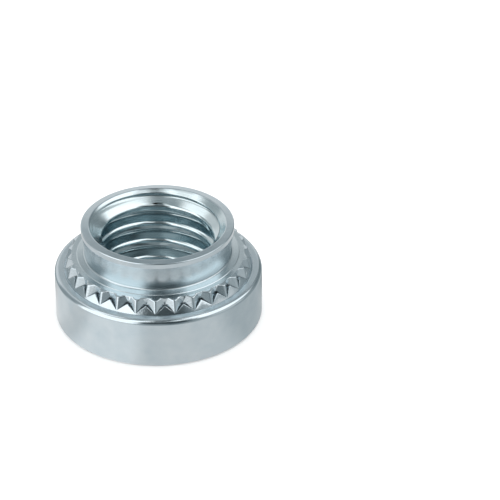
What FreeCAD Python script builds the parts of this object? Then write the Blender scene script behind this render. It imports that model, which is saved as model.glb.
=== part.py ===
import FreeCAD, Part
import math
import os

# Self-clinching nut, M8 x 1.25, standing head down. Millimetres, +Z up.
# The origin is the centre of the bottom face, on the thread axis.
head_diameter = 12.65
head_height = 3.22
head_top_round = 0.32
head_foot_break = 0.12
total_height = 6.17

# The clinching ring on the head: its ridges lean inward a little and end
# in a flat bevel, and the shoulder inside them stands a step higher.
knurl_foot_diameter = 11.48
ridge_height = 0.82
ridge_lean = 0.21
bevel_width = 0.27
bevel_height = 0.10
shoulder_diameter = 9.90
shoulder_step = 0.05

# The teeth: sharp upright ridges with a four-sided pit between each pair.
tooth_count = 30
ridge_land = 0.08
pit_depth = 0.49
pit_level = 0.43
foot_band = 0.02

# The pilot: a lip at the rim, waisted just above the clinching ring.
rim_diameter = 9.30
rim_edge_break = 0.05
lip_height = 0.35
neck_depth = 0.19
neck_fillet = 0.10

# The bore at the crests of the thread, countersunk at both ends.
bore_diameter = 6.76
rim_countersink_diameter = 8.34
foot_countersink_diameter = 8.20

# The right-hand thread: one groove between 60 degree flanks, whose middle
# passes the back of the nut this far below the rim.
thread_pitch = 1.25
thread_depth = 0.62
thread_root_flat = 0.156
thread_angle = 60
thread_start = 0.38

head_r = head_diameter / 2
foot_r = knurl_foot_diameter / 2
ridge_r = foot_r - ridge_lean
knurl_top_r = ridge_r - bevel_width
shoulder_r = shoulder_diameter / 2
rim_r = rim_diameter / 2
neck_r = rim_r - neck_depth
bore_r = bore_diameter / 2
knurl_z = head_height + ridge_height + bevel_height
shoulder_z = knurl_z + shoulder_step


def at(r, z):
    return FreeCAD.Vector(r, 0, z)


def section():
    """The half section of the turned blank, as one closed face."""
    edges = []
    pen = [at(foot_countersink_diameter / 2, 0)]

    def line(r, z):
        edges.append(Part.makeLine(pen[0], at(r, z)))
        pen[0] = at(r, z)

    def arc(mid_r, mid_z, r, z):
        edges.append(Part.Arc(pen[0], at(mid_r, mid_z), at(r, z)).toShape())
        pen[0] = at(r, z)

    half = math.sqrt(0.5)
    line(head_r - head_foot_break, 0)
    line(head_r, head_foot_break)
    line(head_r, head_height - head_top_round)
    arc(
        head_r - head_top_round * (1 - half),
        head_height - head_top_round * (1 - half),
        head_r - head_top_round,
        head_height,
    )
    line(foot_r, head_height)
    line(ridge_r, head_height + ridge_height)
    line(knurl_top_r, knurl_z)
    line(shoulder_r, knurl_z)
    line(shoulder_r - shoulder_step, shoulder_z)
    line(neck_r + neck_fillet, shoulder_z)
    arc(
        neck_r + neck_fillet * (1 - half),
        shoulder_z + neck_fillet * (1 - half),
        neck_r,
        shoulder_z + neck_fillet,
    )
    # The waist is an arc that leaves the neck upright and opens to the lip.
    rise = total_height - lip_height - shoulder_z - neck_fillet
    waist_r = (rise**2 + neck_depth**2) / (2 * neck_depth)
    turn = math.asin(rise / waist_r) / 2
    arc(
        neck_r + waist_r * (1 - math.cos(turn)),
        shoulder_z + neck_fillet + waist_r * math.sin(turn),
        rim_r,
        total_height - lip_height,
    )
    line(rim_r, total_height - rim_edge_break)
    line(rim_r - rim_edge_break, total_height)
    line(rim_countersink_diameter / 2, total_height)
    line(bore_r, total_height - rim_countersink_diameter / 2 + bore_r)
    line(bore_r, foot_countersink_diameter / 2 - bore_r)
    line(foot_countersink_diameter / 2, 0)
    return Part.Face(Part.Wire(edges))


def plane(p, q, r):
    """The plane through three points, as its normal and its offset."""
    normal = (q - p).cross(r - p)
    normal.normalize()
    return normal, normal.dot(p)


def meet(a, b, c):
    """The point that three planes share."""
    (na, da), (nb, db), (nc, dc) = a, b, c
    total = nb.cross(nc) * da + nc.cross(na) * db + na.cross(nb) * dc
    return total * (1 / na.dot(nb.cross(nc)))


def polyhedron(faces):
    wires = [Part.makePolygon(face + face[:1]) for face in faces]
    shell = Part.makeShell([Part.Face(wire) for wire in wires])
    return Part.makeSolid(shell)


def pit():
    """The space between two teeth, with its middle along +X."""
    half = math.pi / tooth_count
    deepest = FreeCAD.Vector(foot_r - pit_depth, 0, head_height + pit_level)

    def ridge(r, z, side):
        x = r * math.cos(half) + ridge_land / 2 * math.sin(half)
        y = r * math.sin(half) - ridge_land / 2 * math.cos(half)
        return FreeCAD.Vector(x, side * y, z)

    def flank(side):
        low = ridge(foot_r, head_height, side)
        high = ridge(ridge_r, head_height + ridge_height, side)
        return plane(low, high, deepest)

    across = FreeCAD.Vector(0, 1, 0)
    left = flank(1)
    right = flank(-1)
    toe = FreeCAD.Vector(foot_r + foot_band, 0, head_height)
    floor = plane(deepest, toe, toe + across)
    back = (FreeCAD.Vector(1, 0, 0), deepest.x)
    outer = (FreeCAD.Vector(1, 0, 0), foot_r + foot_band * 0.75)
    roof = (FreeCAD.Vector(0, 0, 1), shoulder_z + shoulder_step)

    back_left = meet(left, back, roof)
    back_right = meet(right, back, roof)
    high_left = meet(left, outer, roof)
    high_right = meet(right, outer, roof)
    low_left = meet(left, outer, floor)
    low_right = meet(right, outer, floor)
    return polyhedron(
        [
            [deepest, low_right, low_left],
            [deepest, back_left, back_right],
            [deepest, low_left, high_left, back_left],
            [deepest, back_right, high_right, low_right],
            [back_left, high_left, high_right, back_right],
            [low_left, low_right, high_right, high_left],
        ]
    )


def thread_groove():
    """The space that the tap cuts, as a trapezium swept along a helix past both ends."""
    inner_r = bore_r - thread_depth / 2
    root_r = bore_r + thread_depth
    slant = math.tan(math.radians(thread_angle / 2))
    root_half = thread_root_flat / 2
    inner_half = root_half + (root_r - inner_r) * slant
    turns = math.ceil(total_height / thread_pitch) + 1
    top = total_height - thread_start + thread_pitch * 0.75
    bottom = top - turns * thread_pitch

    helix = Part.makeLongHelix(thread_pitch, turns * thread_pitch, bore_r)
    helix.translate(FreeCAD.Vector(0, 0, bottom))
    corners = [
        at(inner_r, bottom - inner_half),
        at(root_r, bottom - root_half),
        at(root_r, bottom + root_half),
        at(inner_r, bottom + inner_half),
    ]
    profile = Part.makePolygon(corners + corners[:1])
    return Part.Wire(helix.Edges).makePipeShell([profile], True, True)


origin = FreeCAD.Vector(0, 0, 0)
axis = FreeCAD.Vector(0, 0, 1)
blank = section().revolve(origin, axis, 360)

pits = []
for index in range(tooth_count):
    cutter = pit()
    cutter.rotate(origin, axis, 360 * index / tooth_count)
    pits.append(cutter)
clinch_nut = blank.cut(pits + [thread_groove()])
clinch_nut = clinch_nut.Solids[0]

os.makedirs("parts", exist_ok=True)
clinch_nut.exportStep("parts/clinch_nut.step")
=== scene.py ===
import math

import bpy
import numpy as np
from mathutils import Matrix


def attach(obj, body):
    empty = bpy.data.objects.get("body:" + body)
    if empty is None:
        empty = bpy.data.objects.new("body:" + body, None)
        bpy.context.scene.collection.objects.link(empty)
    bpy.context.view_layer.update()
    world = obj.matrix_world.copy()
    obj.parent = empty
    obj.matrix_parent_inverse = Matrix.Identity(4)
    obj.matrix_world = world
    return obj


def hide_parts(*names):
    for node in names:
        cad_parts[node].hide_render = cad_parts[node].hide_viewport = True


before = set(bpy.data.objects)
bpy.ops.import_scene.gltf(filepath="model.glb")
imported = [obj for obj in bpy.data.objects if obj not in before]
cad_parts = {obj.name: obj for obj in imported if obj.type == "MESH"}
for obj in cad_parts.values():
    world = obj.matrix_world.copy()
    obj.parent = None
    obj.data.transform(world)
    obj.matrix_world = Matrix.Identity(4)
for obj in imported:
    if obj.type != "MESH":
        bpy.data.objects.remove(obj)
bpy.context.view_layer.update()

# Sizes in millimetres, as in the construction. The scene itself is in metres.
MM = 0.001
HEAD_R, HEAD_TOP, HEAD_ROUND, FOOT_BREAK = 6.325, 3.22, 0.32, 0.12
RIM_Z, RIM_R, LIP_Z, NECK_R = 6.17, 4.65, 5.82, 4.46
FOOT_R, RIDGE_R, RIDGE_Z = 5.74, 5.53, 4.04
RING_R, RING_Z, SHOULDER_R, SHOULDER_Z = 5.26, 4.14, 4.95, 4.19
TEETH, PIT_X, PIT_Z, TOE_X = 30, 5.23, 3.68, 5.76
BORE_R, ROOT_R, PITCH = 3.38, 4.0, 1.25
RIM_SINK_R, FOOT_SINK_R, SINK_EDGE = 4.17, 4.10, 0.05
# The thread's profile: half of the flat at its root, the run of a flank along the axis, and how
# far below the rim the middle of a crest passes the back of the nut.
ROOT_FLAT, FLANK_RUN, CREST_SINK = 0.078, 0.358, 1.005
# How far the rim's face falls outwards, the fillet at the foot of the pilot, and how far the
# shoulder rises at the pilot, drops at its edge, and is bevelled there.
RIM_FALL, NECK_FILLET = 0.025, 0.10
SHOULDER_RISE, SHOULDER_DROP, SHOULDER_BEVEL = 0.04, 0.02, 0.04
# How far the roundings of the teeth's upper edges and ridges reach, the angle from a pit's middle
# to its upper corners, and how far the pits differ.
SOFT, RIDGE_SOFT, PIT_CORNER = 0.05, 0.12, 0.037
PIT_SPREAD = np.array([0.02, 0.03, 0.02])
# Where the point of the lip in front of each pit stands from the pit's deepest point.
LIP = np.array([0.20, 0, 0.04])
# The photograph's camera, solved from the nut's outlines: its lens, place and tilt in degrees.
LENS, CAMERA_PLACE, CAMERA_TILT = 187.2, (5.591, -134.28, 87.48), 58.21


def rounded(corners, radii, steps, edge=0.02):
    """A line through the corners, each turned into an arc that touches both of its sides.

    The arc's tangents are radius * tan(turn / 2) long, and its points stand at equal angles.
    A further point on each side, edge beyond the arc, keeps the straight runs flat.
    """
    corners = np.asarray(corners, float)
    line = [corners[:1]]
    for before, corner, after, radius in zip(corners, corners[1:], corners[2:], radii):
        if radius == 0:
            line.append(corner[None])
            continue
        a = (corner - before) / np.linalg.norm(corner - before)
        b = (after - corner) / np.linalg.norm(after - corner)
        turn = math.atan2(a[0] * b[1] - a[1] * b[0], a @ b)
        side = np.array([-a[1], a[0]]) * math.copysign(1, turn)
        start = corner - a * radius * math.tan(abs(turn) / 2)
        s = np.linspace(0, abs(turn), steps + 1)[:, None]
        arc = start + side * radius * (1 - np.cos(s)) + a * radius * np.sin(s)
        line += [start[None] - a * edge, arc, arc[-1:] + b * edge] if edge else [arc]
    line.append(corners[-1:])
    return np.concatenate(line)


def columns():
    """The columns of one tooth space, as angles from its middle.

    They start on the middle of a ridge, with two more close by for its rounding and two on the
    flank, and after the pit's middle the same run back. The next ridge's middle is left out.
    """
    half = math.pi / TEETH
    left = -half + np.array([0, 0.0043, 0.0086, 0.40 * half, 0.65 * half])
    return np.concatenate([left, [0], -left[:0:-1]])


def around(r, z, angles):
    """Rings: each row of r and z, turned through the angles."""
    r, z, angles = np.broadcast_arrays(r, z, angles)
    return np.stack([r * np.cos(angles), r * np.sin(angles), z], -1)


def tooth_rows(angles):
    """The facets of every tooth space, as rows of points over all the columns.

    The keys of a row are its points at the ridge, at the pit's corner and in the middle, and the
    points between two keys lie on the straight line that joins them, so every facet stays flat.
    At the ridge the two flanks are joined by a parabola that leaves each of them at its tangent.
    The floor rises from where it runs out on the ring's face to a low lip of pushed-up metal,
    falls behind it to the pit's deepest point, and from there the back rises to the ring's top.
    The deepest point of each pit is off by a few hundredths of a millimetre, as formed teeth are.
    Each space is then turned to its place.
    """
    rng = np.random.default_rng(8)
    half = math.pi / TEETH
    lean = (FOOT_R - RIDGE_R) / (RIDGE_Z - HEAD_TOP)
    slope = (PIT_Z - HEAD_TOP) / (TOE_X - PIT_X)

    def cone(beta):
        """Where the sloping floor of a pit runs out on the leaning face of the ring."""
        r = (FOOT_R - lean * slope * TOE_X) / (1 - lean * slope * np.cos(beta))
        return around(r, HEAD_TOP + (FOOT_R - r) / lean, beta)

    def on(r, z, beta):
        return np.array([r * math.cos(beta), r * math.sin(beta), z])

    def toward(p, q, distance):
        return p + (q - p) * distance / np.linalg.norm(q - p, axis=-1, keepdims=True)

    across = on(1, 0, math.pi / 2 - half)
    foot = cone(np.array(-half))
    toe = cone(np.array(0))
    top = on(RIDGE_R, RIDGE_Z, -half)
    inner = on(RING_R, RING_Z, -half)
    corner = on(RING_R, RING_Z, -PIT_CORNER)
    crown = corner * [1, 0, 1]
    # The shares of a flank's width at which its two inner columns cross it.
    first, second = 0.45, 0.6

    def half_rows(deep):
        """The rows from the middle of a ridge to the middle of the pit."""
        lip = deep + LIP
        low = [toward(lip, toe, SOFT), lip, toward(lip, deep, SOFT), deep]
        keys = [(foot, foot + (point - foot) * second, point) for point in low]
        keys += [
            (toward(top, foot, SOFT), toward(corner, deep, SOFT), deep),
            (top, corner, toward(crown, deep, SOFT)),
            (toward(top, inner, SOFT), corner, crown),
            (inner, corner, crown),
        ]
        rows = []
        s = np.array([0.5, 0.75, 1])[:, None]
        for a, b, c in keys:
            away = toward(a, b, RIDGE_SOFT) - a
            back = away - 2 * (away @ across)[..., None] * across
            ridge = a + (1 - s) ** 2 * back + s**2 * away
            rest = [a + (b - a) * first, b, c]
            rest = [np.broadcast_to(point, (TEETH, 1, 3)) for point in rest]
            rows.append(np.concatenate([np.broadcast_to(ridge, (TEETH, 3, 3)), *rest], axis=1))
        return np.stack(rows)

    deep = np.array([PIT_X, 0, PIT_Z]) + rng.uniform(-1, 1, (TEETH, 1, 3)) * PIT_SPREAD
    flip = np.array([1, -1, 1])
    left, right = half_rows(deep), half_rows(deep * flip) * flip
    rows = np.concatenate([left, right[:, :, -2:0:-1]], axis=2)
    floor_end = np.broadcast_to(cone(angles), (1, TEETH, len(angles), 3))
    x, y, z = np.moveaxis(np.concatenate([floor_end, rows]), -1, 0)
    turn = np.arange(TEETH)[:, None] * 2 * half
    c, s = np.cos(turn), np.sin(turn)
    return np.stack([x * c - y * s, x * s + y * c, z], -1).reshape(len(x), -1, 3)


def thread_rows(angles):
    """The bore: a metric thread swept as a helix and cut by the countersink at either end.

    A row keeps its place on the thread's profile and climbs one pitch in a turn.
    At each point the larger of the thread's and the countersinks' radii counts, with a soft
    change. A row that comes close to either end stays there.
    """
    low = PITCH / 2 - ROOT_FLAT - FLANK_RUN
    corners = [
        (0, BORE_R),
        (low, BORE_R),
        (low + FLANK_RUN, ROOT_R),
        (PITCH - low - FLANK_RUN, ROOT_R),
        (PITCH - low, BORE_R),
        (PITCH, BORE_R),
    ]
    # The crest's upper edge, both corners of the root and the next crest's lower edge.
    line = rounded(corners, [0.25, 0.13, 0.13, 0.09], 5, 0)
    spacing = 0.055
    steps = np.ceil(np.diff(line[:, 0]) / spacing).astype(int)
    runs = zip(line[:, 0], line[1:, 0], steps)
    height = np.concatenate([np.linspace(a, b, n, endpoint=False) for a, b, n in runs])
    profile = np.stack([height, np.interp(height, line[:, 0], line[:, 1])], -1)
    starts = np.arange(-2, 8)[:, None] * PITCH
    rise = (starts + profile[:, 0]).ravel()[:, None]
    r = np.tile(profile[:, 1], len(starts))[:, None]
    z = RIM_Z - CREST_SINK - 5 * PITCH + rise + PITCH * (angles - math.pi / 2) / (2 * math.pi)
    low, high, close = SINK_EDGE, RIM_Z - SINK_EDGE, 0.012
    z = np.where(z < low + close, low, np.where(z > high - close, high, z))

    def larger(a, b, soft=0.02):
        """The larger of two, with a parabola of that half width where they meet."""
        mix = np.clip(1 - np.abs(a - b) / (2 * soft), 0, 1)
        return np.maximum(a, b) + mix**2 * soft / 2

    r = larger(r, RIM_SINK_R - (RIM_Z - z))
    r = larger(r, FOOT_SINK_R - z)
    return around(r, z, angles)[::-1]


def piece(name, rows, material):
    """One closed mesh from rows of points that each run once round.

    Points that coincide become one, and faces that this leaves with two corners go.
    """
    count, around_count = rows.shape[:2]
    points, where = np.unique(
        np.round(rows.reshape(-1, 3), 6), axis=0, return_inverse=True
    )
    where = where.reshape(count, around_count)
    quads = np.stack(
        [where[:-1, :-1], where[:-1, 1:], where[1:, 1:], where[1:, :-1]], -1
    ).reshape(-1, 4)
    fresh = quads != np.roll(quads, 1, axis=1)
    size = fresh.sum(1)
    quads, fresh, size = quads[size > 2], fresh[size > 2], size[size > 2]
    mesh = bpy.data.meshes.new(name)
    mesh.vertices.add(len(points))
    mesh.vertices.foreach_set("co", (points * MM).ravel())
    mesh.loops.add(int(size.sum()))
    mesh.loops.foreach_set("vertex_index", quads[fresh])
    mesh.polygons.add(len(size))
    mesh.polygons.foreach_set("loop_start", np.concatenate([[0], np.cumsum(size)[:-1]]))
    mesh.update(calc_edges=True)
    mesh.polygons.foreach_set("use_smooth", np.ones(len(size), bool))
    mesh.materials.append(material)
    crisp_hollows(mesh)
    shape = bpy.data.objects.new(name, mesh)
    bpy.context.scene.collection.objects.link(shape)
    return shape


def crisp_hollows(mesh, angle=25):
    """Marks each hollow edge sharp whose two faces turn by more than the angle."""

    def read(things, key, width, kind=float):
        values = np.empty(len(things) * width, kind)
        things.foreach_get(key, values)
        return values.reshape(-1, width) if width > 1 else values

    edge = read(mesh.loops, "edge_index", 1, np.int32)
    size = read(mesh.polygons, "loop_total", 1, np.int32)
    normal = read(mesh.polygons, "normal", 3)
    centre = read(mesh.polygons, "center", 3)
    face = np.repeat(np.arange(len(size)), size)
    order = np.argsort(edge, kind="stable")
    one, two = face[order][0::2], face[order][1::2]
    turned = (normal[one] * normal[two]).sum(1) < math.cos(math.radians(angle))
    hollow = ((centre[two] - centre[one]) * normal[one]).sum(1) > 0
    flag = mesh.attributes.new("sharp_edge", "BOOLEAN", "EDGE")
    flag.data.foreach_set("value", turned & hollow)


def add(tree, kind, links=None, **settings):
    """A node with its settings.

    links gives each input a value, or the output socket that feeds it.
    """
    made = tree.nodes.new(kind)
    for key, value in settings.items():
        setattr(made, key, value)
    for key, value in (links or {}).items():
        if isinstance(value, bpy.types.NodeSocket):
            tree.links.new(value, made.inputs[key])
        else:
            made.inputs[key].default_value = value
    return made


def colour(code):
    """An sRGB hex colour turned linear."""
    parts = [int(code[i : i + 2], 16) / 255 for i in (1, 3, 5)]
    return [p / 12.92 if p <= 0.04045 else ((p + 0.055) / 1.055) ** 2.4 for p in parts] + [1.0]


def window(tree, value, centre, half, soft, circle=False):
    """1 within half of the centre and 0 beyond it, with a smooth edge that soft on either side.

    On a circle the value is an angle in degrees, and the window runs on across its ends.
    """
    away = add(tree, "ShaderNodeMath", {0: value, 1: centre}, operation="SUBTRACT").outputs[0]
    if circle:
        away = add(tree, "ShaderNodeMath", {0: away, 1: 180}, operation="PINGPONG").outputs[0]
    else:
        away = add(tree, "ShaderNodeMath", {0: away}, operation="ABSOLUTE").outputs[0]
    return add(
        tree,
        "ShaderNodeMapRange",
        {"Value": away, "From Min": half - soft, "From Max": half + soft, "To Min": 1, "To Max": 0},
        interpolation_type="SMOOTHSTEP",
    ).outputs[0]


def bearing(tree, vector):
    """A vector's angle about the nut's axis in degrees: 0 to the front, growing to the right."""
    parts = add(tree, "ShaderNodeSeparateXYZ", {0: vector}).outputs
    back = add(tree, "ShaderNodeMath", {0: parts[1], 1: -1}, operation="MULTIPLY").outputs[0]
    turn = add(tree, "ShaderNodeMath", {0: parts[0], 1: back}, operation="ARCTAN2").outputs[0]
    return add(tree, "ShaderNodeMath", {0: turn}, operation="DEGREES").outputs[0]


def summed(tree, first, terms):
    """first, and each term's weights times its strength added to it."""
    total = first
    for weights, part in terms:
        for weight in weights:
            product = add(tree, "ShaderNodeMath", {0: weight, 1: part}, operation="MULTIPLY")
            part = product.outputs[0]
        total = add(tree, "ShaderNodeMath", {0: part, 1: total}, operation="ADD").outputs[0]
    return total


def lit(tree, level):
    """A light's colour: cool where it is dim and white where it is bright."""
    bright = add(tree, "ShaderNodeMath", {0: level, 1: 1.4}, operation="MULTIPLY").outputs[0]
    return add(
        tree,
        "ShaderNodeMix",
        {"Factor": bright, "A": (0.80, 1.0, 1.07, 1), "B": (1, 1, 1, 1)},
        data_type="RGBA",
    ).outputs["Result"]


def zinc():
    """Bright zinc plate, clear blue passivated, over turned and cold formed steel.

    It mirrors the room softly. The colour, roughness and relief change with the distance from the
    axis and the height, because each face was made by another tool.
    """
    material = bpy.data.materials.new("bright_zinc_on_steel")
    material.use_nodes = True
    tree = material.node_tree
    shader = tree.nodes["Principled BSDF"]
    place = add(tree, "ShaderNodeTexCoord").outputs["Object"]
    in_mm = {0: place, "Scale": 1 / MM}
    place = add(tree, "ShaderNodeVectorMath", in_mm, operation="SCALE").outputs[0]
    x, y, height = add(tree, "ShaderNodeSeparateXYZ", {0: place}).outputs
    flat = add(tree, "ShaderNodeCombineXYZ", {0: x, 1: y}).outputs[0]
    radius = add(tree, "ShaderNodeVectorMath", {0: flat}, operation="LENGTH").outputs["Value"]

    # The bore with its countersinks, the ring of teeth and the head's ledge around it.
    inside = window(tree, radius, 0, 4.12, 0.04)
    teeth = window(tree, radius, 5.42, 0.36, 0.04)
    ledge = window(tree, radius, 5.95, 0.17, 0.04)
    # The pilot's waist with the shoulder, which the forming tool left a little duller.
    collar = window(tree, radius, 4.8, 0.45, 0.05)
    low = window(tree, height, 4.7, 0.95, 0.2)
    collar = add(tree, "ShaderNodeMath", {0: collar, 1: low}, operation="MULTIPLY").outputs[0]
    # The countersink at the rim, which the tool left with chatter marks.
    mouth = window(tree, height, 6.1, 0.55, 0.15)
    mouth = add(tree, "ShaderNodeMath", {0: mouth, 1: inside}, operation="MULTIPLY").outputs[0]

    # Rings left by turning, about 0.15 mm apart. Real ones are finer and wouldn't show.
    section = add(tree, "ShaderNodeCombineXYZ", {0: radius, 1: height}).outputs[0]
    marks = add(tree, "ShaderNodeTexNoise", {"Vector": section, "Scale": 7, "Detail": 2}).outputs[0]
    # Clouds about a millimetre across, where the plating is a little duller.
    clouds = {"Vector": place, "Scale": 0.9, "Detail": 4}
    clouds = add(tree, "ShaderNodeTexNoise", clouds).outputs[0]
    # The plating's grain, about 0.1 mm. Real crystals are finer and wouldn't show.
    grain = add(tree, "ShaderNodeTexNoise", {"Vector": place, "Scale": 9, "Detail": 2}).outputs[0]
    # Painted shade: corners within 0.4 mm of other faces are darkened toward grey, the more the
    # less open sky the occlusion node finds there.
    near_faces = {"Distance": 0.4 * MM}
    open_sky = add(
        tree, "ShaderNodeAmbientOcclusion", near_faces, only_local=True, samples=8
    ).outputs["AO"]
    painted_corner_shade = add(
        tree,
        "ShaderNodeMapRange",
        {"Value": open_sky, "From Min": 0.35, "From Max": 0.75, "To Min": 1, "To Max": 0},
    ).outputs[0]

    tone = colour("#c2d2da")
    # The last layer is painted shade in the corners.
    layers = [(clouds, "#dfe8ec"), (inside, "#d8e6ea"), (collar, "#d0dce1"), (painted_corner_shade, "#4f5a5e")]
    for share, code in layers:
        mix = {"Factor": share, "A": tone, "B": colour(code)}
        tone = add(tree, "ShaderNodeMix", mix, data_type="RGBA").outputs["Result"]
    dull = summed(
        tree,
        0.05,
        [
            ([inside], -0.04),
            ([mouth], 0.12),
            ([teeth], 0.02),
            ([ledge], 0.25),
            ([collar], 0.07),
            ([clouds], 0.14),
            ([marks], 0.06),
        ],
    )
    # The relief's unit is 0.0012 mm, which turns the mirrored light by about two degrees.
    relief = summed(
        tree,
        0,
        [([marks], 1), ([marks, mouth], 5), ([grain], 0.8), ([grain, teeth], 2), ([clouds], 4)],
    )
    unit = {"Strength": 1, "Distance": 0.0012 * MM, "Height": relief}
    bump = add(tree, "ShaderNodeBump", unit).outputs[0]
    shader.inputs["Metallic"].default_value = 1.0
    tree.links.new(tone, shader.inputs["Base Color"])
    tree.links.new(dull, shader.inputs["Roughness"])
    tree.links.new(bump, shader.inputs["Normal"])
    return material


def nut():
    """The whole nut in one closed surface, as rows of points that each run once round.

    The rows go from the foot over the head, teeth, pilot and rim, and down through the bore. The
    turned faces are a half section of straight runs with rounded corners, and the waist is an arc
    that leaves the neck upright and opens to the lip.
    """
    base = columns()
    half = math.pi / TEETH
    angles = (np.arange(TEETH)[:, None] * 2 * half + base).ravel()
    head = rounded(
        [
            (FOOT_SINK_R - SINK_EDGE, SINK_EDGE),
            (FOOT_SINK_R, 0),
            (HEAD_R - FOOT_BREAK, 0),
            (HEAD_R, FOOT_BREAK),
            (HEAD_R, HEAD_TOP),
            (FOOT_R + 0.02, HEAD_TOP),
            (FOOT_R, HEAD_TOP),
        ],
        [0.05, 0.07, 0.07, HEAD_ROUND, 0],
        8,
    )
    neck_z = SHOULDER_Z + NECK_FILLET
    rise = LIP_Z - neck_z
    waist_r = (rise**2 + (RIM_R - NECK_R) ** 2) / (2 * (RIM_R - NECK_R))
    climb = np.linspace(0.1, 1, 14) * math.asin(rise / waist_r)
    waist = np.stack([NECK_R + waist_r * (1 - np.cos(climb)), neck_z + waist_r * np.sin(climb)], -1)
    shoulder = rounded(
        [
            (RING_R - 0.02, RING_Z),
            (SHOULDER_R, RING_Z),
            (SHOULDER_R - SHOULDER_BEVEL, SHOULDER_Z - SHOULDER_DROP),
            (NECK_R, SHOULDER_Z + SHOULDER_RISE),
            (NECK_R, neck_z + 0.05),
        ],
        [0.02, 0.03, NECK_FILLET],
        5,
        0.01,
    )
    rim = rounded(
        [
            waist[-2],
            waist[-1],
            (RIM_R, RIM_Z - RIM_FALL),
            (RIM_SINK_R, RIM_Z),
            (RIM_SINK_R - SINK_EDGE, RIM_Z - SINK_EDGE),
        ],
        [0.06, 0.06, 0.08],
        6,
    )
    pilot = np.concatenate([shoulder, waist[:-2], rim])

    def rings(line):
        return around(line[:, :1], line[:, 1:], angles)

    outside = np.concatenate([rings(head), tooth_rows(base), rings(pilot)])
    outside = np.concatenate([outside, outside[:, :1]], axis=1)
    inside = thread_rows(np.append(angles, angles[0] + 2 * math.pi))
    return np.concatenate([outside, inside, outside[:1]])


finish = zinc()
body = piece("nut", nut(), finish)
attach(body, "root")
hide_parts("clinch_nut")


def studio():
    """The room: soft boxes on a dim dome.

    Each box is its bearing, half width, height, half height and softness in degrees, and its
    strength. A negative strength is a dark flag. The metal mirrors these alone, and everything
    else stands in the even white light of a tent.
    """
    boxes = [
        (84, 38, 50, 26, 6, 1.1),
        (6, 40, 76, 7, 4, 0.8),
        (0, 40, 56, 8, 5, 1.0),
        (22, 34, 76, 9, 4, -0.85),
        (4, 15, 56, 10, 5, -1.0),
        (-54, 34, 20, 29, 6, 1.1),
        (-100, 22, 60, 13, 6, 0.9),
        (-46, 24, 55, 7, 6, 0.5),
        (78, 22, 6, 8, 6, 0.4),
        (-165, 38, 14, 16.5, 6, 0.45),
        (-66, 42, -15, 10, 6, 0.4),
        (-132, 18, 42, 10, 6, 0.3),
        (64, 22, -15, 8, 6, 0.2),
        (0, 200, -60, 34, 3, 0.36),
        (8, 27, 23, 20, 6, -0.28),
        (17, 8, -9, 12, 6, -0.14),
        (140, 20, 10, 14, 6, -0.12),
    ]
    world = bpy.data.worlds.new("studio")
    world.use_nodes = True
    world.cycles.sampling_method = "NONE"
    tree = world.node_tree
    way = add(tree, "ShaderNodeTexCoord").outputs["Generated"]
    turn = bearing(tree, way)
    height = add(tree, "ShaderNodeSeparateXYZ", {0: way}).outputs[2]
    height = add(tree, "ShaderNodeMath", {0: height}, operation="ARCSINE").outputs[0]
    height = add(tree, "ShaderNodeMath", {0: height}, operation="DEGREES").outputs[0]
    terms = [
        ([window(tree, turn, az, wide, soft, True), window(tree, height, el, tall, soft)], strength)
        for az, wide, el, tall, soft, strength in boxes
    ]
    level = summed(tree, 0.36, terms)
    room = add(tree, "ShaderNodeBackground", {"Color": lit(tree, level), "Strength": level})
    tent = add(tree, "ShaderNodeBackground", {"Color": (1, 1, 1, 1), "Strength": 1.6})
    mirrored = add(tree, "ShaderNodeLightPath").outputs["Is Glossy Ray"]
    mixed = add(tree, "ShaderNodeMixShader", {0: mirrored, 1: tent.outputs[0], 2: room.outputs[0]})
    tree.links.new(mixed.outputs[0], tree.nodes["World Output"].inputs["Surface"])
    bpy.context.scene.world = world


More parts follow.
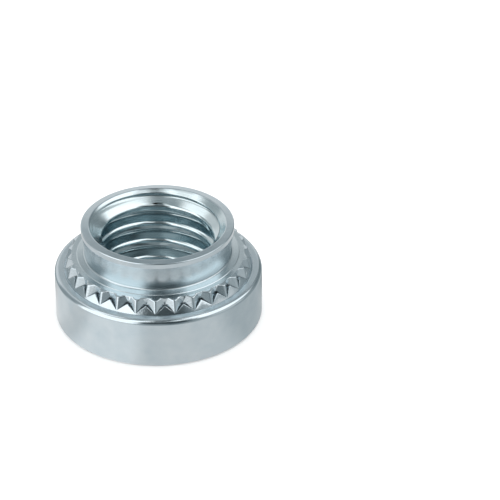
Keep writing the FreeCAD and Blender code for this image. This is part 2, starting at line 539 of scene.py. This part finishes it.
def floor():
    """A pale matt table.

    The metal mirrors only the part of it that is near, as a glowing card under the nut.
    """
    mesh = bpy.data.meshes.new("floor")
    side = 1.5
    corners = [(-side, -side, 0), (side, -side, 0), (side, side, 0), (-side, side, 0)]
    mesh.from_pydata(corners, [], [(0, 1, 2, 3)])
    material = bpy.data.materials.new("pale_floor")
    material.use_nodes = True
    tree = material.node_tree
    shader = tree.nodes["Principled BSDF"]
    shader.inputs["Base Color"].default_value = colour("#f7f7f7")
    shader.inputs["Roughness"].default_value = 0.9
    place = add(tree, "ShaderNodeTexCoord").outputs["Object"]
    turn = bearing(tree, place)
    reach = add(tree, "ShaderNodeVectorMath", {0: place}, operation="LENGTH").outputs["Value"]
    # Painted light and shade: the card is brighter to the left, and darker to the right, close
    # behind and under the nut.
    near = window(tree, reach, 7.3 * MM, 2.2 * MM, 0.6 * MM)
    under = window(tree, reach, 0, 5 * MM, 0.5 * MM)
    terms = [
        ([window(tree, turn, -34, 22, 8, True)], 0.2),
        ([window(tree, turn, -88, 12, 8, True)], 0.1),
        ([window(tree, turn, 78, 24, 12, True)], -0.17),
        ([near, window(tree, turn, 140, 32, 15, True)], -0.45),
        ([near, window(tree, turn, -160, 42, 20, True)], -0.3),
        ([under], -0.45),
    ]
    level = summed(tree, 0.7, terms)
    card = add(tree, "ShaderNodeEmission", {"Color": lit(tree, level), "Strength": level})
    open_air = add(tree, "ShaderNodeBsdfTransparent")
    beyond = add(
        tree,
        "ShaderNodeMapRange",
        {"Value": reach, "From Min": 12 * MM, "From Max": 13.5 * MM},
        interpolation_type="SMOOTHSTEP",
    ).outputs[0]
    seen = {0: beyond, 1: card.outputs[0], 2: open_air.outputs[0]}
    mirror = add(tree, "ShaderNodeMixShader", seen).outputs[0]
    mirrored = add(tree, "ShaderNodeLightPath").outputs["Is Glossy Ray"]
    mixed = add(tree, "ShaderNodeMixShader", {0: mirrored, 1: shader.outputs[0], 2: mirror})
    tree.links.new(mixed.outputs[0], tree.nodes["Material Output"].inputs["Surface"])
    mesh.materials.append(material)
    made = bpy.data.objects.new("floor", mesh)
    bpy.context.scene.collection.objects.link(made)
    return made


floor()
studio()

lens = bpy.data.cameras.new("camera")
lens.lens = LENS
lens.clip_start, lens.clip_end = 0.01, 10
camera = bpy.data.objects.new("camera", lens)
camera.location = [value * MM for value in CAMERA_PLACE]
camera.rotation_euler = (math.radians(CAMERA_TILT), 0, 0)
bpy.context.scene.collection.objects.link(camera)
bpy.context.scene.camera = camera
bpy.context.scene.view_settings.view_transform = "Standard"
bpy.context.scene.cycles.max_bounces = bpy.context.scene.cycles.glossy_bounces = 16
